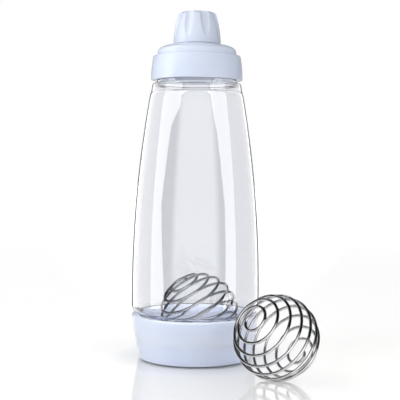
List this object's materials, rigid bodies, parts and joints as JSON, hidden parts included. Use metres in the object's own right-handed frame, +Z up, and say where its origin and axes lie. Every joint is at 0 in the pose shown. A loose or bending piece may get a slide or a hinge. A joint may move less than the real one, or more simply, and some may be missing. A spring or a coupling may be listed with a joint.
{
  "type": "batter dispenser",
  "caption": "Tall clear mixing bottle on a deep screw-on base cup, with a stepped screw lid, a pouring nozzle under a fluted cap, a wire whisk ball inside and a spare one beside it.",
  "frame": {"origin": "middle of the base cup's flat underside, where it rests", "axes": "+Z up along the bottle's axis; -Y towards the viewer of the picture, with the spare whisk ball at +X, -Y"},
  "size_m": [0.1517, 0.1783, 0.298],
  "materials": {
    "pale_plastic": "smooth satin moulded plastic, bluish white",
    "clear_plastic": "clear glossy moulded plastic",
    "silicone": "soft matt silicone, bluish white",
    "steel_wire": "bright polished stainless steel wire"
  },
  "bodies": {
    "base": {"base_cup": "pale_plastic"},
    "base_seal": {"base_seal": "silicone"},
    "bottle": {"bottle": "clear_plastic"},
    "lid_seal": {"lid_seal": "silicone"},
    "lid": {"lid": "pale_plastic", "nozzle": "silicone"},
    "cap_liner": {"cap_liner": "silicone"},
    "cap": {"cap": "pale_plastic"},
    "whisk_ball": {"whisk_ball": "steel_wire"},
    "spare_whisk_ball": {"spare_whisk_ball": "steel_wire"}
  },
  "joints": [
    {"name": "bottle_turn", "type": "hinge", "parent": "base", "child": "base_seal", "pos_m": [0, 0, 0.018], "axis": [0, 0, 1], "range_deg": [0, 360]},
    {"name": "bottle_lift", "type": "slide", "parent": "base_seal", "child": "bottle", "axis": [0, 0, 1], "range_m": [0, 0.1]},
    {"name": "lid_lift", "type": "slide", "parent": "bottle", "child": "lid_seal", "axis": [0, 0, 1], "range_m": [0, 0.04]},
    {"name": "lid_turn", "type": "hinge", "parent": "lid_seal", "child": "lid", "pos_m": [0, 0, 0.2553], "axis": [0, 0, 1], "range_deg": [0, 360]},
    {"name": "cap_lift", "type": "slide", "parent": "lid", "child": "cap_liner", "axis": [0, 0, 1], "range_m": [0, 0.04]},
    {"name": "cap_turn", "type": "hinge", "parent": "cap_liner", "child": "cap", "pos_m": [0, 0, 0.2873], "axis": [0, 0, 1], "range_deg": [0, 360]},
    {"name": "whisk_ball_rise", "type": "slide", "parent": "base", "child": "whisk_ball", "axis": [0, 0, 1], "range_m": [0, 0.165]},
    {"name": "spare_whisk_ball_lift", "type": "slide", "parent": "base", "child": "spare_whisk_ball", "axis": [0, 0, 1], "range_m": [0, 0.1]}
  ]
}
